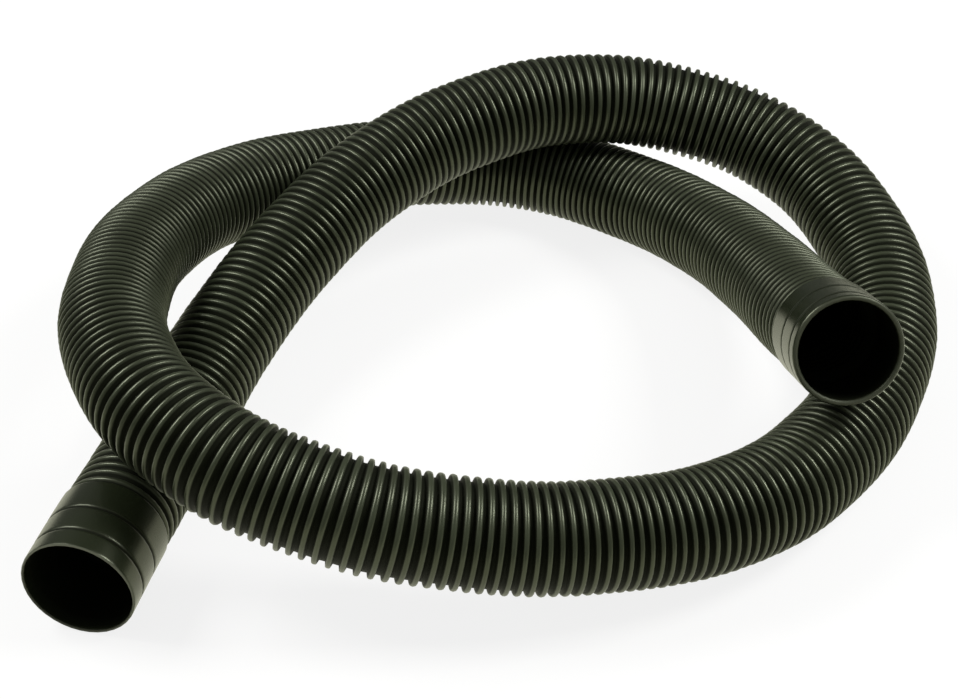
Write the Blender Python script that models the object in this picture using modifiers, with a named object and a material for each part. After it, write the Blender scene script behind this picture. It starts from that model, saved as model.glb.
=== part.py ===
"""Ribbed hose of a vacuum cleaner, lying in a loose overhand knot.

The hose is one blown piece: a thin ribbed wall with a plain stepped cuff at each end. It is made
straight, as a turned section, and then bent along a smooth curve through the points of its route.
Metres, +Z up, resting on z = 0, with the origin below the middle of the knot.
"""

import math

import bpy

# Across the crests of the ribs
OUTER_DIAMETER = 0.0400

# Ribbed wall. Each rib stands for two of the real ones, which are 3.9 mm apart.
RIB_PITCH = 0.0078
RIB_DEPTH = 0.0024
WALL = 0.00135
FIRST_VALLEY = 0.0010

# Cuffs, which stand a little proud of the ribs. Their bands are given from the mouth inwards, and the
# band at the rim is cut to its own length at each end.
CUFF_DIAMETER = 0.0410
CUFF_WALL = 0.0010
LIP_INSET = 0.0003
LIP_TAPER = 0.0020
LOW_RIM_BAND = 0.0074
HIGH_RIM_BAND = 0.0045
MIDDLE_BAND = 0.0093
INNER_BAND = 0.0128
GROOVE_WIDTH = 0.0018
GROOVE_DEPTH = 0.0007
SHOULDER_LENGTH = 0.0020
SHOULDER_BACKING = 0.0029

# The high mouth's lip is turned in. The low mouth's lip is plain.
HIGH_LIP_DEPTH = 0.0010
HIGH_LIP_LENGTH = 0.0016
HIGH_LIP_STEP = 0.0010

# Facets around the hose and along its bends
SIDES = 12
RIBS_PER_BORE_RING = 2
STEPS_PER_ROUTE_POINT = 24

# Where the hose lies. A point is x and y in metres, and its storey: 0.5 lies on the ground, and
# 1.5 lies on a stretch that is itself on the ground.
ROUTE = [
    (-0.122, -0.165, 0.515),
    (-0.121, -0.135, 0.515),
    (-0.120, -0.117, 0.505),
    (-0.117, -0.068, 0.53),
    (-0.110, -0.018, 0.70),
    (-0.095, 0.029, 0.98),
    (-0.071, 0.072, 1.28),
    (-0.036, 0.108, 1.50),
    (0.006, 0.135, 1.53),
    (0.055, 0.146, 1.35),
    (0.103, 0.135, 1.05),
    (0.136, 0.099, 0.73),
    (0.149, 0.051, 0.56),
    (0.144, 0.001, 0.51),
    (0.126, -0.047, 0.52),
    (0.096, -0.087, 0.60),
    (0.052, -0.113, 0.69),
    (0.004, -0.127, 0.83),
    (-0.045, -0.133, 1.11),
    (-0.093, -0.123, 1.43),
    (-0.129, -0.088, 1.53),
    (-0.146, -0.041, 1.45),
    (-0.148, 0.009, 1.27),
    (-0.133, 0.057, 1.06),
    (-0.102, 0.096, 0.85),
    (-0.062, 0.126, 0.66),
    (-0.013, 0.138, 0.54),
    (0.035, 0.123, 0.51),
    (0.072, 0.089, 0.67),
    (0.097, 0.046, 0.93),
    (0.114, 0.001, 1.27),
    (0.121, -0.020, 1.48),
    (0.128, -0.047, 1.77),
]

# Dark olive plastic with a soft shine
COLOUR = (0.020, 0.022, 0.014, 1.0)
ROUGHNESS = 0.38
METALLIC = 0.0


def clear_scene():
    for obj in list(bpy.data.objects):
        bpy.data.objects.remove(obj, do_unlink=True)


def collection(name):
    made = bpy.data.collections.new(name)
    bpy.context.scene.collection.children.link(made)
    return made


def plastic():
    """Satin plastic of the whole hose."""
    material = bpy.data.materials.new("dark_plastic")
    material.use_nodes = True
    shader = material.node_tree.nodes["Principled BSDF"]
    shader.inputs["Base Color"].default_value = COLOUR
    shader.inputs["Roughness"].default_value = ROUGHNESS
    shader.inputs["Metallic"].default_value = METALLIC
    return material


def guide_curve(home):
    """Smooth centreline through the route's points."""
    data = bpy.data.curves.new("centreline", "CURVE")
    data.dimensions = "3D"
    data.twist_mode = "MINIMUM"
    data.resolution_u = STEPS_PER_ROUTE_POINT
    spline = data.splines.new("BEZIER")
    spline.bezier_points.add(len(ROUTE) - 1)
    for point, (x, y, storey) in zip(spline.bezier_points, ROUTE):
        point.co = (x, y, storey * OUTER_DIAMETER)
        point.handle_left_type = "AUTO"
        point.handle_right_type = "AUTO"
    guide = bpy.data.objects.new("centreline", data)
    guide.hide_render = True
    guide.display_type = "WIRE"
    home.objects.link(guide)
    bpy.context.view_layer.update()
    return guide, spline.calc_length(resolution=256)


def cuff_outside(rim_band):
    """Distance from the mouth and radius, along the outside of a cuff."""
    outer = CUFF_DIAMETER / 2
    section = [(0.0, outer - LIP_INSET), (LIP_TAPER, outer)]
    along = 0.0
    for band in (rim_band, MIDDLE_BAND):
        along += band
        section.append((along, outer))
        section.append((along + GROOVE_WIDTH / 2, outer - GROOVE_DEPTH))
        along += GROOVE_WIDTH
        section.append((along, outer))
    section.append((along + INNER_BAND, outer))
    return section


def plain_mouth():
    """Distance from the mouth and radius, inside the low lip."""
    return [(0.0, CUFF_DIAMETER / 2 - CUFF_WALL)]


def turned_in_mouth():
    """Distance from the mouth and radius, inside the high lip."""
    wide = CUFF_DIAMETER / 2 - CUFF_WALL
    narrow = wide - HIGH_LIP_DEPTH
    return [(0.0, narrow), (HIGH_LIP_LENGTH, narrow), (HIGH_LIP_LENGTH + HIGH_LIP_STEP, wide)]


def cuff_inside(mouth, cuff_length):
    """Distance from the mouth and radius, along the inside of a cuff to its shoulder."""
    return mouth + [(cuff_length - SHOULDER_BACKING - SHOULDER_LENGTH, mouth[-1][1])]


def ribs_outside(start, end):
    """Distance from the low mouth and radius, along the ribs between the two cuffs."""
    count = round((end - start) / RIB_PITCH)
    pitch = (end - start) / count
    crest = OUTER_DIAMETER / 2
    valley = crest - RIB_DEPTH
    section = [(start + FIRST_VALLEY, valley)]
    for i in range(count):
        if i > 0:
            section.append((start + i * pitch, valley))
        section.append((start + (i + 0.5) * pitch, crest))
    section.append((end - FIRST_VALLEY, valley))
    return section


def bore_inside(start, end):
    """Distance from the low mouth and radius, along the plain bore between the shoulders."""
    radius = OUTER_DIAMETER / 2 - RIB_DEPTH - WALL
    steps = round((end - start) / (RIB_PITCH * RIBS_PER_BORE_RING))
    step = (end - start) / steps
    return [(start + i * step, radius) for i in range(steps + 1)]


def from_far_end(section, length):
    """The same section at the other end of the hose."""
    return [(length - along, radius) for along, radius in reversed(section)]


def hose_section(length):
    """Closed outline of the wall: down its outer side, then up its bore."""
    low = cuff_outside(LOW_RIM_BAND)
    high = from_far_end(cuff_outside(HIGH_RIM_BAND), length)
    low_bore = cuff_inside(plain_mouth(), low[-1][0])
    high_bore = from_far_end(cuff_inside(turned_in_mouth(), length - high[0][0]), length)
    ribs = ribs_outside(low[-1][0], high[0][0])
    bore = bore_inside(low_bore[-1][0] + SHOULDER_LENGTH, high_bore[0][0] - SHOULDER_LENGTH)
    return list(reversed(low + ribs + high)) + low_bore + bore + high_bore


def straight_hose(length, home):
    """Turned hose, standing on its first mouth along +Z."""
    section = hose_section(length)
    points = [(radius, 0.0, along) for along, radius in section]
    count = len(points)
    edges = [(i, (i + 1) % count) for i in range(count)]
    mesh = bpy.data.meshes.new("hose")
    mesh.from_pydata(points, edges, [])
    hose = bpy.data.objects.new("hose", mesh)
    hose.data.materials.append(plastic())
    home.objects.link(hose)
    screw = hose.modifiers.new("turn", "SCREW")
    screw.axis = "Z"
    screw.angle = math.tau
    screw.steps = SIDES
    screw.render_steps = SIDES
    screw.use_merge_vertices = True
    screw.merge_threshold = 0.00001
    screw.use_smooth_shade = True
    return hose


def main():
    clear_scene()
    guide, length = guide_curve(collection("guides"))
    hose = straight_hose(length, collection("vacuum_hose"))
    bend = hose.modifiers.new("lie_along_route", "CURVE")
    bend.object = guide
    bend.deform_axis = "POS_Z"
    print(f"hose {length:.3f} m long")


main()
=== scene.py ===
# %% [markdown]
# # A ribbed vacuum cleaner hose
# The real thing is one piece of blown plastic, about a metre and a half long: a thin wall pressed into
# hundreds of rings, with a plain cuff at each end. It lies in a loose overhand knot. The lesson loads the
# measured model as a fixed frame and then makes the hose again with every real rib, because the measured
# solid has only half of them. Everything is in metres.

# %% Load the measured model
import math

import bpy
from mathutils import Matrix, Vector


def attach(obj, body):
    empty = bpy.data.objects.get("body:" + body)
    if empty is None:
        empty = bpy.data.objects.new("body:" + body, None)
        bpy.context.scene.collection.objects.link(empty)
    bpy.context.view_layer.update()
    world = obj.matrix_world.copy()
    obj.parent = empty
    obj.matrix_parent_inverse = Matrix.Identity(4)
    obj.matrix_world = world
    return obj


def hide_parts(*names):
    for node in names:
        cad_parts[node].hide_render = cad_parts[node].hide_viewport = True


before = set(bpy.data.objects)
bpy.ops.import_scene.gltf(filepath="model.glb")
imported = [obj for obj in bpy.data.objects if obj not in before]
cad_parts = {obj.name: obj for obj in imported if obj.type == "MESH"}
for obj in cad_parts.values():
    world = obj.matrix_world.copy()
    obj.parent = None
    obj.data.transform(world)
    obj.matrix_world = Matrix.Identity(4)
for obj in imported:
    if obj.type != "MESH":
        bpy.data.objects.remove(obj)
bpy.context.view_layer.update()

# %% [markdown]
# ## The camera
# The photograph was taken from the front, at arm's length and well above the hose. The camera could be
# turned with angles, but a place and a point that it looks at are easier to read and to change. The lens
# follows from how fast the hose narrows towards the back.

# %% Camera
CAMERA_PLACE = Vector((0.0869, -0.5644, 0.4421))
CAMERA_TARGET = Vector((-0.0077, -0.0309, 0.0400))
CAMERA_ROLL = math.radians(0.34)
CAMERA_LENS = 66.0
NEAREST_SEEN = 0.01


def make_camera():
    data = bpy.data.cameras.new("camera")
    data.lens = CAMERA_LENS
    data.clip_start = NEAREST_SEEN
    camera = bpy.data.objects.new("camera", data)
    camera.location = CAMERA_PLACE
    look = (CAMERA_TARGET - CAMERA_PLACE).to_track_quat("-Z", "Y").to_matrix().to_4x4()
    turn = look.Rotation(CAMERA_ROLL, 4, "Z")
    camera.rotation_euler = (look @ turn).to_euler()
    bpy.context.scene.collection.objects.link(camera)
    bpy.context.scene.camera = camera
    print(f"camera {(CAMERA_TARGET - CAMERA_PLACE).length:.2f} m from the knot, lens {data.lens} mm")


make_camera()

# %% [markdown]
# ## The centreline
# A hose that lies loose never kinks, so its middle is one smooth curve. Thirty-three points are enough:
# x and y in metres, and a storey, where 0.5 lies on the ground and 1.5 lies on another stretch. They are
# the points that the measured model follows, but for the last two, which turn the high mouth a few
# degrees more to the right. Automatic handles make the smooth curve between them.

# %% Centreline
DIAMETER = 0.0400
ROUTE = [
    (-0.122, -0.165, 0.515),
    (-0.121, -0.135, 0.515),
    (-0.120, -0.117, 0.505),
    (-0.117, -0.068, 0.53),
    (-0.110, -0.018, 0.70),
    (-0.095, 0.029, 0.98),
    (-0.071, 0.072, 1.28),
    (-0.036, 0.108, 1.50),
    (0.006, 0.135, 1.53),
    (0.055, 0.146, 1.35),
    (0.103, 0.135, 1.05),
    (0.136, 0.099, 0.73),
    (0.149, 0.051, 0.56),
    (0.144, 0.001, 0.51),
    (0.126, -0.047, 0.52),
    (0.096, -0.087, 0.60),
    (0.052, -0.113, 0.69),
    (0.004, -0.127, 0.83),
    (-0.045, -0.133, 1.11),
    (-0.093, -0.123, 1.43),
    (-0.129, -0.088, 1.53),
    (-0.146, -0.041, 1.45),
    (-0.148, 0.009, 1.27),
    (-0.133, 0.057, 1.06),
    (-0.102, 0.096, 0.85),
    (-0.062, 0.126, 0.66),
    (-0.013, 0.138, 0.54),
    (0.035, 0.123, 0.51),
    (0.072, 0.089, 0.67),
    (0.097, 0.046, 0.93),
    (0.114, 0.001, 1.27),
    (0.1213, -0.0202, 1.470),
    (0.1290, -0.0475, 1.749),
]
STEPS_PER_ROUTE_POINT = 24
MEASURING_STEPS = 256


def make_centreline():
    data = bpy.data.curves.new("centreline", "CURVE")
    data.dimensions = "3D"
    data.twist_mode = "MINIMUM"
    data.resolution_u = STEPS_PER_ROUTE_POINT
    spline = data.splines.new("BEZIER")
    spline.bezier_points.add(len(ROUTE) - 1)
    for point, (x, y, storey) in zip(spline.bezier_points, ROUTE):
        point.co = (x, y, storey * DIAMETER)
        point.handle_left_type = "AUTO"
        point.handle_right_type = "AUTO"
    curve = bpy.data.objects.new("centreline", data)
    bpy.context.scene.collection.objects.link(curve)
    return curve


centreline = make_centreline()
bpy.context.view_layer.update()
HOSE_LENGTH = centreline.data.splines[0].calc_length(resolution=MEASURING_STEPS)
print(f"the hose is {HOSE_LENGTH:.3f} m long")

# %% [markdown]
# ## Building a node tree in a script
# A node tree made by hand is a picture of boxes and wires. In a script the same tree is long, so a small
# helper keeps it readable: it adds one node, sets its options, and either links or types in each input.
# Sums are written as functions, so that the tree reads like a formula.


# %% Helpers for node trees
class Tree:
    """A node tree under construction."""

    def __init__(self, tree):
        self.tree = tree

    def add(self, kind, inputs=(), output=0, **options):
        """Adds a node and returns one of its outputs."""
        node = self.tree.nodes.new(kind)
        for name, value in options.items():
            setattr(node, name, value)
        for key, value in dict(inputs).items():
            socket = node.inputs[key]
            if isinstance(value, bpy.types.NodeSocket):
                self.tree.links.new(value, socket)
            else:
                socket.default_value = value
        return node.outputs[output]

    def sum(self, operation, *values):
        """One step of arithmetic on numbers or sockets."""
        return self.add("ShaderNodeMath", dict(enumerate(values)), operation=operation)

    def ramp(self, value, low, high, to_low, to_high, kind="LINEAR"):
        """Carries a value from one range to another, and holds it at the ends."""
        names = {"Value": value, "From Min": low, "From Max": high, "To Min": to_low, "To Max": to_high}
        return self.add("ShaderNodeMapRange", names, interpolation_type=kind)

    def between(self, share, first, second):
        """A number that goes from the first to the second as the share goes from 0 to 1."""
        return self.add("ShaderNodeMix", {0: share, 2: first, 3: second}, data_type="FLOAT")

    def blend(self, share, first, second):
        """A colour that goes from the first to the second as the share goes from 0 to 1."""
        return self.add("ShaderNodeMix", {0: share, 6: first, 7: second}, output=2, data_type="RGBA")

    def arc(self, back):
        """Height of a quarter circle, from 1 at its top to 0 where back reaches 1."""
        return self.sum("SQRT", self.sum("SUBTRACT", 1.0, self.sum("MULTIPLY", back, back)))

    def vector(self, operation, first, second):
        """One step of arithmetic on vectors."""
        return self.add("ShaderNodeVectorMath", {0: first, 1: second}, operation=operation)

    def scaled(self, vector, factor):
        """A vector made longer or shorter."""
        return self.add("ShaderNodeVectorMath", {0: vector, "Scale": factor}, operation="SCALE")


print("node helper ready")

# %% [markdown]
# ## The section of the wall
# The hose could be drawn as one closed outline and turned, but its ribs are all alike, so a rule is
# shorter. The rule says how far the wall is from the middle at any place along the hose. A rib is a round
# crest, and between two ribs lies a deep valley, which, with the painted shade that the plastic puts in it,
# is why the hose looks black in stripes. A cuff is three plain bands. Each band drops sharply where it
# ends, and the next one rises slowly from there, like roof tiles. At its mouth the cuff ends in a round
# lip, which is plain at the low end and turned in at the high end.

# %% Sizes of the wall
RIB_DEPTH = 0.0022
CREST_SHARE = 0.63
RIB_WALL = 0.0009
RIB_UNEVENNESS = 0.00012
CUFF_DIAMETER = 0.0410
CUFF_WALL = 0.0010
LOW_RIM_BAND = 0.0074
HIGH_RIM_BAND = 0.0045
MIDDLE_BAND = 0.0093
INNER_BAND = 0.0128
GROOVE_WIDTH = 0.0018
GROOVE_DEPTH = 0.0007
GROOVE_DROP = 0.0005
GROOVE_RISE = 0.0024
GROOVE_CURL = 5.0
SHOULDER = 0.0007
LOW_LIP = 0.0010
HIGH_LIP = 0.0020
LOW_LIP_INSET = 0.00015
HIGH_LIP_INSET = 0.0002
LIP_TAPER = 0.0012
LIP_STEP = 0.0010

# How far the bottoms of both grooves are from the ribs
INNER_GROOVE = INNER_BAND + GROOVE_WIDTH / 2
OUTER_GROOVE = INNER_GROOVE + MIDDLE_BAND + GROOVE_WIDTH

SHORT_CUFF = MIDDLE_BAND + INNER_BAND + 2 * GROOVE_WIDTH
LOW_CUFF = SHORT_CUFF + LOW_RIM_BAND
HIGH_CUFF = SHORT_CUFF + HIGH_RIM_BAND
RIBBED_LENGTH = HOSE_LENGTH - LOW_CUFF - HIGH_CUFF
print(f"cuffs {LOW_CUFF * 1000:.1f} and {HIGH_CUFF * 1000:.1f} mm long")

# %% [markdown]
# ## How the ribs bunch and spread
# A ribbed hose stretches easily, so its ribs are never quite even: they stand apart where the hose is
# pulled and close together where it is pushed. The list says how many ribs there are to one diameter of
# length, at places from mouth to mouth, as counted. Added up along the hose, the list gives both the
# number of ribs and the place of each.

# %% Spread of the ribs
RIBS_PER_DIAMETER = [
    (0.00, 9.3),
    (0.08, 9.4),
    (0.15, 10.6),
    (0.22, 9.7),
    (0.32, 9.5),
    (0.38, 8.8),
    (0.43, 9.8),
    (0.47, 11.4),
    (0.51, 10.6),
    (0.546, 8.6),
    (0.58, 9.8),
    (0.65, 11.9),
    (0.70, 10.9),
    (0.735, 11.3),
    (0.79, 9.4),
    (0.84, 10.7),
    (0.91, 10.5),
    (1.00, 9.2),
]
SPREAD_STEPS = 40
COUNTING_STEPS = 400


def ribs_before(place):
    """Number of ribs on the ribbed length before a place on it, from 0 to 1."""
    total = 0.0
    for i in range(COUNTING_STEPS):
        here = place * (i + 0.5) / COUNTING_STEPS
        for (a, ribs_a), (b, ribs_b) in zip(RIBS_PER_DIAMETER[:-1], RIBS_PER_DIAMETER[1:]):
            if a <= here < b:
                total += ribs_a + (ribs_b - ribs_a) * (here - a) / (b - a)
    return total / COUNTING_STEPS * place * RIBBED_LENGTH / DIAMETER


def rib_spread():
    """Pairs of a share of the ribs and the share of the ribbed length that holds it."""
    all_ribs = ribs_before(1.0)
    places = [i / SPREAD_STEPS for i in range(SPREAD_STEPS + 1)]
    return [(ribs_before(place) / all_ribs, place) for place in places]


RIBS = round(ribs_before(1.0))
RIB_SPREAD = rib_spread()
print(f"{RIBS} ribs, {RIBBED_LENGTH / RIBS * 1000:.2f} mm apart on average")

# %% [markdown]
# ## The hose as a Geometry Nodes tree
# A grid is a sheet of points in rows and columns. Here each row becomes one ring of the hose: the row's
# number says how far along it is, the wall's rule gives the ring its radius, and the centreline gives it a
# place and a direction. Two sheets are needed, one for the outside and one for the bore. They meet in the
# rounded lip of each mouth, where their points are merged, so the wall is one closed skin. Deep inside,
# where nobody sees it, the bore is left plain.

# %% Density of the rings
SIDES = 38
OUTER_RINGS_PER_CUFF = 64
OUTER_RINGS_PER_RIB = 6
BORE_RINGS_PER_CUFF = 20
BORE_RINGS_PER_RIB = 6
SEEN_RIBS = 6
HIDDEN_RIBS_PER_RING = 4
MERGE_DISTANCE = 0.000001
print(f"{RIBS * OUTER_RINGS_PER_RIB * SIDES * 2} triangles on the outside of the ribs")

# %% [markdown]
# ## Sizes that come in by name
# A tree can hold its sizes inside, or take them in as named inputs. Inputs are better: the same tree then
# makes a thicker hose, or one with deeper ribs, without any change to its nodes.

# %% The tree's inputs
SEED = 7
INPUTS = [
    ("Centreline", "NodeSocketObject"),
    ("Diameter", "NodeSocketFloat"),
    ("Ribs", "NodeSocketInt"),
    ("Rib Depth", "NodeSocketFloat"),
    ("Crest Share", "NodeSocketFloat"),
    ("Rib Wall", "NodeSocketFloat"),
    ("Rib Unevenness", "NodeSocketFloat"),
    ("Cuff Diameter", "NodeSocketFloat"),
    ("Cuff Wall", "NodeSocketFloat"),
    ("Low Cuff", "NodeSocketFloat"),
    ("High Cuff", "NodeSocketFloat"),
    ("Low Lip Inset", "NodeSocketFloat"),
    ("High Lip Inset", "NodeSocketFloat"),
    ("Low Lip", "NodeSocketFloat"),
    ("High Lip", "NodeSocketFloat"),
    ("Groove Depth", "NodeSocketFloat"),
    ("Sides", "NodeSocketInt"),
    ("Seed", "NodeSocketInt"),
    ("Material", "NodeSocketMaterial"),
]


def hose_inputs(tree):
    """The tree's own inputs, which the modifier then sets by their identifiers."""
    face = tree.tree.interface
    face.new_socket("Geometry", in_out="OUTPUT", socket_type="NodeSocketGeometry")
    for name, kind in INPUTS:
        face.new_socket(name, in_out="INPUT", socket_type=kind)
    group = tree.tree.nodes.new("NodeGroupInput")
    return {name: group.outputs[name] for name, kind in INPUTS}


print(len(INPUTS), "inputs")

# %% [markdown]
# ## Where each ring lies
# The rings crowd at both ends of a cuff, where the lip and the shoulder are round. Each rib has six rings:
# two at the edges of its nearly flat top, two on its rounded shoulders and two at its feet, where the
# valley begins. A Float Curve node holds the spread of the ribs.

# %% Ring places
# Each pair of rings on a rib, from its top to its foot: how far out it is, as a share of the crest's width,
# and how deep, as a share of the rib's depth
RIB_RINGS = [
    (0.22, 0.00),
    (0.60, 0.10),
    (1.00, 0.90),
]
VALLEY_DIP = 0.95
CROWDING = 1.3

# Keeps a ring that lies at a whole rib from being counted with the rib before it
NUDGE = 0.0001


def crowded(tree, share):
    """Moves shares of a cuff towards both of its ends."""
    near = tree.sum("POWER", share, CROWDING)
    far = tree.sum("POWER", tree.sum("SUBTRACT", 1.0, share), CROWDING)
    return tree.sum("DIVIDE", near, tree.sum("ADD", near, far))


def ribs_behind(tree, ring, stops):
    """How many ribs are behind a ring. stops pairs ring numbers with rib numbers, in order."""
    middle = tree.sum("ADD", ring, 0.5)
    rib = 0.0
    for (ring_a, rib_a), (ring_b, rib_b) in zip(stops[:-1], stops[1:]):
        rib = tree.sum("ADD", rib, tree.ramp(middle, ring_a, ring_b, 0.0, rib_b - rib_a))
    return rib


def rib_shape(tree, part, crest_share):
    """From the part of the rib's rings that is behind a ring: the part of its length that is behind the
    ring, and the depth there, from 0 on the crest to 1 in the valley."""
    side = tree.sum("MULTIPLY_ADD", part, 2.0, -1.0)
    size = tree.sum("ABSOLUTE", side)
    pairs = len(RIB_RINGS)
    away = 0.0
    dip = 0.0
    for i in range(pairs):
        start = max(0.0, (i - 0.5) / pairs)
        end = (i + 0.5) / pairs
        out_before, deep_before = RIB_RINGS[i - 1] if i else (0.0, 0.0)
        out, deep = RIB_RINGS[i]
        step = tree.sum("MULTIPLY", crest_share, out - out_before)
        away = tree.sum("ADD", away, tree.ramp(size, start, end, 0.0, step))
        dip = tree.sum("ADD", dip, tree.ramp(size, start, end, 0.0, deep - deep_before))
    foot = 1 - 0.5 / pairs
    valley = tree.sum("SUBTRACT", 1.0, crest_share)
    away = tree.sum("ADD", away, tree.ramp(size, foot, 1.0, 0.0, valley))
    dip = tree.sum("ADD", dip, tree.ramp(size, foot, 1.0, 0.0, 1 - RIB_RINGS[-1][1]))
    away = tree.sum("MULTIPLY", away, tree.sum("SIGN", side))
    return tree.sum("MULTIPLY_ADD", away, 0.5, 0.5), dip


def spread(tree, share):
    """Share of the ribbed length that holds a share of the ribs."""
    node = tree.tree.nodes.new("ShaderNodeFloatCurve")
    points = node.mapping.curves[0].points
    for x, y in RIB_SPREAD[1:-1]:
        points.new(x, y)
    node.mapping.update()
    tree.tree.links.new(share, node.inputs["Value"])
    return node.outputs[0]


def ring_place(tree, ring, stops, given, length):
    """How far along the hose a ring is, how far that is from the middle of its rib, how deep its valley
    is, and the number of its rib."""
    first, last = stops[0][0], stops[-1][0]
    low = crowded(tree, tree.ramp(ring, 0.0, first - 1, 0.0, 1.0))
    high = crowded(tree, tree.ramp(ring, last, last + first - 1, 0.0, 1.0))
    rib = tree.sum("ADD", ribs_behind(tree, ring, stops), NUDGE)
    whole = tree.sum("FLOOR", rib)
    ahead, dip = rib_shape(tree, tree.sum("SUBTRACT", rib, whole), given["Crest Share"])
    cuffs = tree.sum("ADD", given["Low Cuff"], given["High Cuff"])
    ribbed_length = tree.sum("SUBTRACT", length, cuffs)

    def ribbed(part):
        share = tree.sum("DIVIDE", tree.sum("ADD", whole, part), given["Ribs"])
        return tree.sum("MULTIPLY", ribbed_length, spread(tree, share))

    here = ribbed(ahead)
    off = tree.sum("SUBTRACT", here, ribbed(0.5))
    off = tree.sum("MULTIPLY", off, tree.sum("LESS_THAN", dip, VALLEY_DIP))
    on_low = tree.sum("MULTIPLY", given["Low Cuff"], low)
    on_high = tree.sum("MULTIPLY", given["High Cuff"], high)
    along = tree.sum("ADD", here, tree.sum("ADD", on_low, on_high))
    return along, off, dip, whole


print("ring places ready")

# %% [markdown]
# ## How far the wall is from the middle
# Each rule below is one feature of the wall. Both cuffs follow the same rules, measured from where their
# ribs begin, because they differ only at the mouth: one lip is plain and the other is turned in.


# %% Features of the wall
def grooves(tree, on_cuff):
    """1 at the bottom of either groove of a cuff, and 0 away from them."""
    depth = 0.0
    for place in (INNER_GROOVE, OUTER_GROOVE):
        rise = tree.sum("POWER", tree.ramp(on_cuff, place - GROOVE_RISE, place, 0.0, 1.0), GROOVE_CURL)
        drop = tree.ramp(on_cuff, place, place + GROOVE_DROP, 1.0, 0.0, "SMOOTHSTEP")
        depth = tree.sum("ADD", depth, tree.sum("MULTIPLY", rise, drop))
    return depth


def shoulder_round(tree, on_cuff):
    """0 where the ribs begin, and 1 on the cuff beyond its round shoulder."""
    along = tree.sum("MINIMUM", tree.sum("MAXIMUM", on_cuff, 0.0), SHOULDER)
    return tree.arc(tree.sum("SUBTRACT", 1.0, tree.sum("DIVIDE", along, SHOULDER)))


def lip_round(tree, mouth, wall):
    """How far each side of the wall falls back to the wall's middle, in the round of the lip."""
    half = tree.sum("MULTIPLY", wall, 0.5)
    back = tree.sum("SUBTRACT", 1.0, tree.sum("DIVIDE", tree.sum("MINIMUM", mouth, half), half))
    return tree.sum("MULTIPLY", half, tree.sum("SUBTRACT", 1.0, tree.arc(back)))


def unevenness(tree, rib, given):
    """A little of each rib's height, different from rib to rib."""
    draw = tree.add(
        "FunctionNodeRandomValue",
        {"ID": rib, "Seed": given["Seed"]},
        output=1,
        data_type="FLOAT",
    )
    return tree.sum("MULTIPLY", draw, given["Rib Unevenness"])


print("features of the wall ready")

# %% [markdown]
# ## The radius of a ring
# The features add up to one radius, for the outside or for the bore. The same sums also know what the
# plastic needs to know: how deep a place lies in a valley, groove or bore, where the plastic paints shade,
# how far onto a cuff it is, and where the low rim gets a pale painted highlight. They are kept as
# attributes of the mesh, where the material can read them.

# %% Radius of a ring
# How far into the bore from each mouth the painted shade takes to turn black
LOW_DUSK = 0.0160
HIGH_DUSK = 0.0030
# The pale painted highlight along each rim: its width, and how much of it the high lip gets
RIM_HIGHLIGHT_WIDTH = 0.0006
HIGH_LIP_HIGHLIGHT = 0.2

# A ring that is less than this far onto a cuff still counts as a rib's
TOUCHING = 0.00001


def radii(tree, along, dip, rib, given, length, bore):
    """Radius of a ring, and what the plastic needs to know there, by name."""
    to_high = tree.sum("SUBTRACT", length, along)
    mouth = tree.sum("MINIMUM", along, to_high)
    on_low = tree.sum("SUBTRACT", given["Low Cuff"], along)
    on_high = tree.sum("SUBTRACT", given["High Cuff"], to_high)
    on_cuff = tree.sum("MAXIMUM", on_low, on_high)
    on_ribs = tree.sum("LESS_THAN", on_cuff, TOUCHING)
    at_high = tree.sum("GREATER_THAN", along, to_high)
    half = tree.sum("MULTIPLY", given["Diameter"], 0.5)
    lip = tree.between(at_high, given["Low Lip"], given["High Lip"])
    edge = lip_round(tree, mouth, lip)

    crest = tree.sum("SUBTRACT", half, unevenness(tree, rib, given))
    ribbed = tree.sum("SUBTRACT", crest, tree.sum("MULTIPLY", dip, given["Rib Depth"]))

    groove = grooves(tree, on_cuff)
    inset = tree.between(at_high, given["Low Lip Inset"], given["High Lip Inset"])
    fall = tree.sum("SUBTRACT", 1.0, tree.ramp(mouth, 0.0, LIP_TAPER, 0.0, 1.0, "SMOOTHSTEP"))
    band = tree.sum("MULTIPLY", given["Cuff Diameter"], 0.5)
    band = tree.sum("SUBTRACT", band, tree.sum("MULTIPLY", groove, given["Groove Depth"]))
    band = tree.sum("SUBTRACT", band, tree.sum("MULTIPLY", fall, inset))
    shoulder = shoulder_round(tree, on_cuff)
    banded = tree.between(shoulder, tree.sum("SUBTRACT", half, given["Rib Depth"]), band)
    radius = tree.between(on_ribs, banded, ribbed)

    # Painted highlight: a pale line along the rim of each mouth, weaker on the high lip
    rim_highlight_share = tree.between(at_high, 1.0, HIGH_LIP_HIGHLIGHT)
    marks = {
        "on_cuff": on_cuff,
        "worn": tree.sum("MULTIPLY", tree.ramp(mouth, 0.0, RIM_HIGHLIGHT_WIDTH, 1.0, 0.0), rim_highlight_share),
    }
    if bore:
        behind_lip = tree.ramp(mouth, lip, tree.sum("ADD", lip, LIP_STEP), 0.0, 1.0)
        cuff_wall = tree.between(behind_lip, lip, given["Cuff Wall"])
        wall = tree.between(on_ribs, cuff_wall, given["Rib Wall"])
        # Painted shade: the bore turns black a little way in from each mouth
        dusk = tree.between(at_high, LOW_DUSK, HIGH_DUSK)
        marks["sheltered"] = tree.ramp(mouth, 0.0, dusk, 0.0, 1.0)
        return tree.sum("ADD", tree.sum("SUBTRACT", radius, wall), edge), marks
    # Painted shade: black in the grooves, at the foot of each shoulder and in the valleys between ribs
    sheltered = tree.sum("MAXIMUM", groove, tree.sum("SUBTRACT", 1.0, shoulder))
    marks["sheltered"] = tree.between(on_ribs, sheltered, dip)
    return tree.sum("SUBTRACT", radius, edge), marks


print("radius rule ready")

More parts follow.
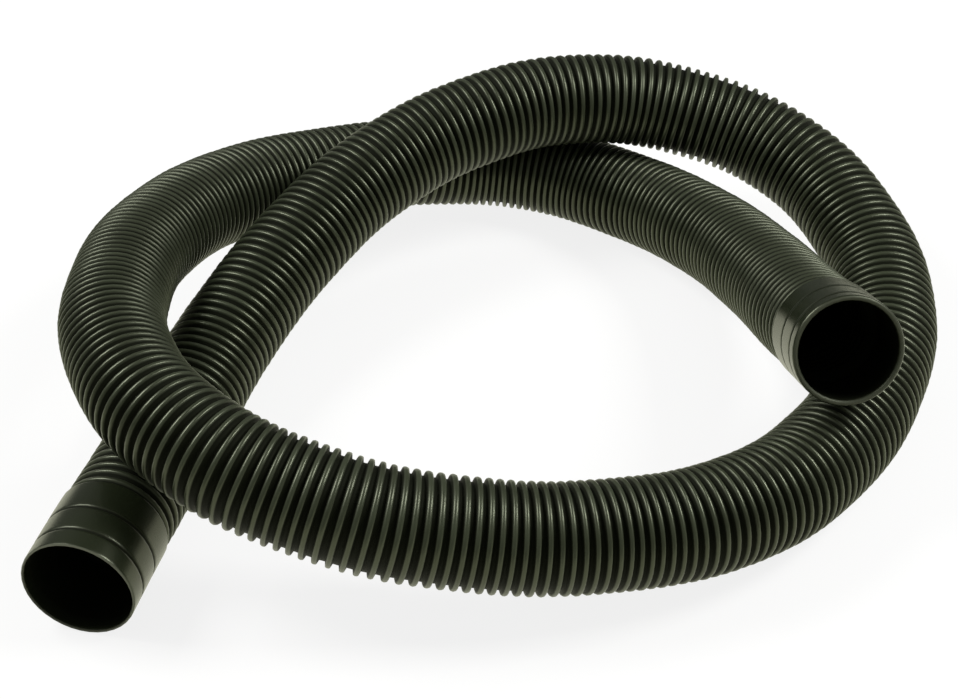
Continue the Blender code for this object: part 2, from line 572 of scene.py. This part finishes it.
# %% [markdown]
# ## One skin of the wall
# A flat sheet has edges, so its first and last columns fall on the same line and are merged later. The
# bore is turned the other way round, so that its faces look into the bore. A plain tube that bends would
# stretch its ribs and valleys alike on the outside of the bend. The ribs of the real hose are stiff rings,
# and only its valleys give way. So each point of a rib slides along the hose, towards the middle of its
# rib on the outside of a bend, and away from it on the inside.

# %% Sheet round the centreline
# The bend at a ring is read from the hose's direction this far before and behind it
BEND_REACH = 0.010


def slide_in_bend(tree, curve, along, off, radius, out):
    """How far a point slides along the hose, so that the crests keep their width in a bend."""
    behind, ahead = (
        tree.add(
            "GeometryNodeSampleCurve",
            {"Curves": curve, "Length": tree.sum("ADD", along, reach)},
            output="Tangent",
            mode="LENGTH",
        )
        for reach in (-BEND_REACH, BEND_REACH)
    )
    bend = tree.scaled(tree.vector("SUBTRACT", ahead, behind), 0.5 / BEND_REACH)
    inward = tree.add("ShaderNodeVectorMath", {0: bend, 1: out}, output="Value", operation="DOT_PRODUCT")
    return tree.sum("MULTIPLY", tree.sum("MULTIPLY", off, radius), inward)


def skin(tree, rings, stops, given, length, curve, bore):
    """The outside of the hose, or its bore, as a sheet wrapped round the centreline."""
    columns = tree.sum("ADD", given["Sides"], 1.0)
    index = tree.add("GeometryNodeInputIndex")
    ring = tree.sum("FLOOR", tree.sum("DIVIDE", tree.sum("ADD", index, 0.5), columns))
    side = tree.sum("SUBTRACT", index, tree.sum("MULTIPLY", ring, columns))
    along, off, dip, rib = ring_place(tree, ring, stops, given, length)
    radius, marks = radii(tree, along, dip, rib, given, length, bore)
    place = tree.add("GeometryNodeSampleCurve", {"Curves": curve, "Length": along}, mode="LENGTH")
    middle, tangent, normal = (place.node.outputs[name] for name in ("Position", "Tangent", "Normal"))
    across = tree.vector("CROSS_PRODUCT", tangent, normal)
    turn = tree.sum("DIVIDE", side, given["Sides"])
    angle = tree.sum("MULTIPLY", turn, -math.tau if bore else math.tau)
    up = tree.scaled(normal, tree.sum("COSINE", angle))
    out = tree.vector("ADD", up, tree.scaled(across, tree.sum("SINE", angle)))
    point = tree.vector("ADD", middle, tree.scaled(out, radius))
    slide = slide_in_bend(tree, curve, along, off, radius, out)
    point = tree.vector("ADD", point, tree.scaled(tangent, slide))
    sheet = tree.add("GeometryNodeMeshGrid", {"Vertices X": rings, "Vertices Y": columns})
    for name, value in marks.items():
        sheet = tree.add(
            "GeometryNodeStoreNamedAttribute",
            {"Geometry": sheet, "Name": name, "Value": value},
            data_type="FLOAT",
            domain="POINT",
        )
    return tree.add("GeometryNodeSetPosition", {"Geometry": sheet, "Position": point})


print("skin rule ready")

# %% [markdown]
# ## The whole tree
# Both skins are joined and merged into one wall. Its faces are shaded smoothly, because nothing on a
# blown hose has a hard edge. In the bore, the first few ribs behind each mouth are made like the outer
# ones, and one ring stands for several ribs beyond them.


# %% The whole tree
def hose_tree():
    tree = Tree(bpy.data.node_groups.new("ribbed_hose", "GeometryNodeTree"))
    given = hose_inputs(tree)
    curve = tree.add("GeometryNodeObjectInfo", {"Object": given["Centreline"]}, output="Geometry")
    length = tree.add("GeometryNodeCurveLength", {"Curve": curve})
    first = OUTER_RINGS_PER_CUFF
    last = first + RIBS * OUTER_RINGS_PER_RIB
    outside = skin(tree, last + first, [(first, 0), (last, RIBS)], given, length, curve, False)
    first = BORE_RINGS_PER_CUFF
    seen = first + SEEN_RIBS * BORE_RINGS_PER_RIB
    hidden = seen + (RIBS - 2 * SEEN_RIBS) // HIDDEN_RIBS_PER_RING
    last = hidden + SEEN_RIBS * BORE_RINGS_PER_RIB
    stops = [(first, 0), (seen, SEEN_RIBS), (hidden, RIBS - SEEN_RIBS), (last, RIBS)]
    inside = skin(tree, last + first, stops, given, length, curve, True)
    both = tree.tree.nodes.new("GeometryNodeJoinGeometry")
    for sheet in (outside, inside):
        tree.tree.links.new(sheet, both.inputs[0])
    wall = tree.add(
        "GeometryNodeMergeByDistance",
        {"Geometry": both.outputs[0], "Distance": MERGE_DISTANCE},
    )
    wall = tree.add("GeometryNodeRealizeInstances", {"Geometry": wall})
    wall = tree.add("GeometryNodeSetShadeSmooth", {"Geometry": wall, "Shade Smooth": True})
    wall = tree.add("GeometryNodeSetMaterial", {"Geometry": wall, "Material": given["Material"]})
    group_output = tree.tree.nodes.new("NodeGroupOutput")
    tree.tree.links.new(wall, group_output.inputs[0])
    return tree.tree


ribs_and_cuffs = hose_tree()
print(len(ribs_and_cuffs.nodes), "nodes in the hose's tree")

# %% [markdown]
# ## The plastic
# The hose is soft black plastic with an olive cast and a satin face. Painted shade makes it black in its
# valleys and mouths, and it is grey-green where a crest turns to the light. A plain dark colour would look
# like paint, so two tones lie in soft clouds, as where a hose rubs on floors and furniture, and a fine
# grain covers them. The valleys are duller, and a near-black mirror tint paints shade into their
# reflections, so they mirror almost nothing. The cuffs are darker and shinier than the ribs, with a thin
# line of painted shade in each groove and where the ribs begin, and a pale painted highlight along the low
# rim.

# %% Plastic
# Painted shade: the near-black laid in the valleys, grooves and bore
PAINTED_SHADE_BLACK = (0.004, 0.005, 0.002, 1.0)
OLIVE_BLACK = (0.018, 0.022, 0.011, 1.0)
RUBBED_OLIVE = (0.028, 0.034, 0.019, 1.0)
CUFF_BLACK = (0.010, 0.013, 0.006, 1.0)
# Painted highlight: the pale colour of the low rim
RIM_HIGHLIGHT_OLIVE = (0.120, 0.125, 0.090, 1.0)
CREST_MIRROR = (0.93, 1.0, 0.72, 1.0)
CUFF_MIRROR = (0.75, 0.80, 0.58, 1.0)
# Painted shade in reflections: the near-black mirror tint of the valleys
PAINTED_SHADE_MIRROR = (0.12, 0.13, 0.09, 1.0)
MIRROR_LEVEL = 0.65
SATIN = 0.37
SHINY = 0.27
RIM_DULL = 0.75
DULL = 0.70
SHADE_BEGINS = 0.06
SHADE_FULL = 0.40
# Width of the thin lines of painted shade in the grooves and where the ribs begin
GROOVE_SHADE_WIDTH = 0.00080
CUFF_EDGE = 0.0005
CLOUDS = {"Scale": 70.0, "Detail": 4.0}
CLOUD_BEGINS = 0.35
CLOUD_FULL = 0.65
GRAIN = {"Scale": 2600.0, "Detail": 2.0}
GRAIN_STRENGTH = 0.10
GRAIN_HEIGHT = 0.0002


def painted_groove_shade(tree, on_cuff):
    """1 in the lines of painted shade on a cuff: where the ribs begin, and at the bottom of both grooves.
    """
    line = 0.0
    for place in (0.0, INNER_GROOVE, OUTER_GROOVE):
        off = tree.sum("ABSOLUTE", tree.sum("SUBTRACT", on_cuff, place))
        line = tree.sum("ADD", line, tree.ramp(off, GROOVE_SHADE_WIDTH / 2, GROOVE_SHADE_WIDTH, 1.0, 0.0))
    return line


def hose_plastic():
    material = bpy.data.materials.new("hose_plastic")
    material.use_nodes = True
    shader = material.node_tree.nodes["Principled BSDF"]
    tree = Tree(material.node_tree)
    sheltered, on_cuff, worn = (
        tree.add("ShaderNodeAttribute", output="Fac", attribute_name=name)
        for name in ("sheltered", "on_cuff", "worn")
    )
    place = tree.add("ShaderNodeTexCoord", output="Object")
    cloud = tree.add("ShaderNodeTexNoise", {"Vector": place, **CLOUDS})
    grain = tree.add("ShaderNodeTexNoise", {"Vector": place, **GRAIN})
    rubbed = tree.ramp(cloud, CLOUD_BEGINS, CLOUD_FULL, 0.0, 1.0)
    cuff = tree.ramp(on_cuff, 0.0, CUFF_EDGE, 0.0, 1.0)
    # Painted shade: valleys, grooves and the bore are painted black and made dull
    shade = tree.ramp(sheltered, SHADE_BEGINS, SHADE_FULL, 0.0, 1.0)
    shade = tree.sum("MAXIMUM", shade, painted_groove_shade(tree, on_cuff))

    colour = tree.blend(rubbed, OLIVE_BLACK, RUBBED_OLIVE)
    colour = tree.blend(cuff, colour, CUFF_BLACK)
    # Painted highlight: the rim turns pale
    colour = tree.blend(worn, colour, RIM_HIGHLIGHT_OLIVE)
    colour = tree.blend(shade, colour, PAINTED_SHADE_BLACK)
    roughness = tree.ramp(cuff, 0.0, 1.0, SATIN, SHINY)
    roughness = tree.ramp(worn, 0.0, HIGH_LIP_HIGHLIGHT, roughness, RIM_DULL)
    roughness = tree.ramp(shade, 0.0, 1.0, roughness, DULL)
    mirror = tree.blend(cuff, CREST_MIRROR, CUFF_MIRROR)
    # Painted shade in reflections: the valleys mirror almost nothing
    mirror = tree.blend(shade, mirror, PAINTED_SHADE_MIRROR)
    bump = tree.add(
        "ShaderNodeBump",
        {"Height": grain, "Strength": GRAIN_STRENGTH, "Distance": GRAIN_HEIGHT},
    )

    links = material.node_tree.links
    links.new(colour, shader.inputs["Base Color"])
    links.new(roughness, shader.inputs["Roughness"])
    links.new(mirror, shader.inputs["Specular Tint"])
    links.new(bump, shader.inputs["Normal"])
    shader.inputs["Specular IOR Level"].default_value = MIRROR_LEVEL
    return material


plastic = hose_plastic()
print(len(plastic.node_tree.nodes), "nodes in the plastic")

# %% [markdown]
# ## From the tree to a plain mesh
# The tree could stay live on the hose, but whoever reuses the hose needs a mesh that stands by itself. So
# the modifier gets its sizes, the evaluated result becomes the hose's own mesh, and the modifier goes.


# %% Make the hose
def make_hose():
    hose = bpy.data.objects.new("ribbed_hose", bpy.data.meshes.new("ribbed_hose"))
    bpy.context.scene.collection.objects.link(hose)
    modifier = hose.modifiers.new("ribs", "NODES")
    modifier.node_group = ribs_and_cuffs
    values = {
        "Centreline": centreline,
        "Diameter": DIAMETER,
        "Ribs": RIBS,
        "Rib Depth": RIB_DEPTH,
        "Crest Share": CREST_SHARE,
        "Rib Wall": RIB_WALL,
        "Rib Unevenness": RIB_UNEVENNESS,
        "Cuff Diameter": CUFF_DIAMETER,
        "Cuff Wall": CUFF_WALL,
        "Low Cuff": LOW_CUFF,
        "High Cuff": HIGH_CUFF,
        "Low Lip Inset": LOW_LIP_INSET,
        "High Lip Inset": HIGH_LIP_INSET,
        "Low Lip": LOW_LIP,
        "High Lip": HIGH_LIP,
        "Groove Depth": GROOVE_DEPTH,
        "Sides": SIDES,
        "Seed": SEED,
        "Material": plastic,
    }
    for item in modifier.node_group.interface.items_tree:
        if item.in_out == "INPUT":
            modifier[item.identifier] = values[item.name]
    bpy.context.view_layer.update()
    graph = bpy.context.evaluated_depsgraph_get()
    made = bpy.data.meshes.new_from_object(hose.evaluated_get(graph), depsgraph=graph)
    hose.modifiers.remove(modifier)
    hose.data = made
    made.name = "ribbed_hose"
    made.calc_loop_triangles()
    print(f"the hose has {len(made.loop_triangles)} triangles")
    return hose


hose = make_hose()

# %% [markdown]
# ## The centreline as plain points
# The hose's middle is also kept as plain points, a couple of millimetres apart. Then the curve itself has
# done its work and is removed.


# %% Points along the middle
def points_of(curve):
    graph = bpy.context.evaluated_depsgraph_get()
    mesh = curve.evaluated_get(graph).to_mesh()
    points = [tuple(v.co) for v in mesh.vertices]
    curve.evaluated_get(graph).to_mesh_clear()
    return points


middle = points_of(centreline)
bpy.data.objects.remove(centreline)
print(len(middle), "points along the middle")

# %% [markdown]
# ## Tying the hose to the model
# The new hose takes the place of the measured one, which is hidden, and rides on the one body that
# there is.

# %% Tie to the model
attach(hose, "root")
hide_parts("hose")
print("hose tied to the model")

# %% [markdown]
# ## The floor
# The photograph stands on plain white. A pale floor keeps a soft shadow where the hose touches it, and
# for the camera it is mixed with a plain white, so that it stays a background. In reflections the floor
# is a white sheet round the hose, which grows dim beyond it, so the plastic mirrors a pale ground at its
# lower edges and little else.

# %% Floor
FLOOR_SIZE = 6.0
FLOOR_COLOUR = (0.86, 0.86, 0.83, 1.0)
FLOOR_ROUGHNESS = 0.7
WHITE = (1.0, 1.0, 1.0, 1.0)
MIRRORED_WHITE = (1.0, 1.0, 0.80, 1.0)
MIRRORED_DIM = (0.12, 0.12, 0.10, 1.0)
SHEET_RADIUS = 0.50
SHEET_FADE = 0.35
SHARE_OF_PLAIN_WHITE = 0.84


def floor_paint():
    material = bpy.data.materials.new("floor")
    material.use_nodes = True
    tree = Tree(material.node_tree)
    shader = material.node_tree.nodes["Principled BSDF"]
    shader.inputs["Base Color"].default_value = FLOOR_COLOUR
    shader.inputs["Roughness"].default_value = FLOOR_ROUGHNESS
    path = tree.add("ShaderNodeLightPath").node
    mirrored = path.outputs["Is Glossy Ray"]
    place = tree.add("ShaderNodeTexCoord", output="Object")
    away = tree.add("ShaderNodeVectorMath", {0: place}, output="Value", operation="LENGTH")
    far = tree.ramp(away, SHEET_RADIUS, SHEET_RADIUS + SHEET_FADE, 0.0, 1.0)
    sheet = tree.blend(far, MIRRORED_WHITE, MIRRORED_DIM)
    colour = tree.blend(mirrored, WHITE, sheet)
    white = tree.add("ShaderNodeEmission", {"Color": colour, "Strength": 1.0})
    share = tree.sum("MULTIPLY", path.outputs["Is Camera Ray"], SHARE_OF_PLAIN_WHITE)
    share = tree.sum("MAXIMUM", share, mirrored)
    mixed = tree.add("ShaderNodeMixShader", {0: share, 1: shader.outputs[0], 2: white})
    output = material.node_tree.nodes["Material Output"]
    material.node_tree.links.new(mixed, output.inputs["Surface"])
    return material


def make_floor():
    bpy.ops.mesh.primitive_plane_add(size=FLOOR_SIZE, location=(0, 0, 0))
    floor = bpy.context.object
    floor.name = "floor"
    floor.data.materials.append(floor_paint())
    print("floor laid")


make_floor()

# %% [markdown]
# ## The light
# A studio could be lit by one large lamp overhead, but that would draw a long pale line down the whole
# hose. Two soft lamps, left and right, put a short pale spot on each crest instead, as in the photograph.
# The room is white to the camera, lights the hose softly from all round, and is dim in reflections.

# %% Lights
LAMPS = [
    # name, place, size in metres, watts
    ("right_lamp", (0.80, 0.20, 0.90), 0.4, 11.5),
    ("left_lamp", (-0.88, 0.00, 1.00), 0.5, 13.0),
]
ROOM_LIGHT = 0.35
ROOM_IN_REFLECTIONS = 0.15


def make_lamps():
    for name, place, size, watts in LAMPS:
        data = bpy.data.lights.new(name, "AREA")
        data.size = size
        data.energy = watts
        lamp = bpy.data.objects.new(name, data)
        lamp.location = place
        lamp.rotation_euler = (-Vector(place)).to_track_quat("-Z", "Y").to_euler()
        bpy.context.scene.collection.objects.link(lamp)
    print(len(LAMPS), "lamps")


def make_room():
    world = bpy.data.worlds.new("studio")
    world.use_nodes = True
    tree = Tree(world.node_tree)
    path = tree.add("ShaderNodeLightPath").node
    sky = world.node_tree.nodes["Background"]
    sky.inputs["Color"].default_value = WHITE
    dim = tree.ramp(path.outputs["Is Glossy Ray"], 0.0, 1.0, ROOM_LIGHT, ROOM_IN_REFLECTIONS)
    strength = tree.sum("MAXIMUM", path.outputs["Is Camera Ray"], dim)
    world.node_tree.links.new(strength, sky.inputs["Strength"])
    bpy.context.scene.world = world
    print("dim room, white background")


make_lamps()
make_room()
bpy.context.scene.view_settings.view_transform = "Standard"
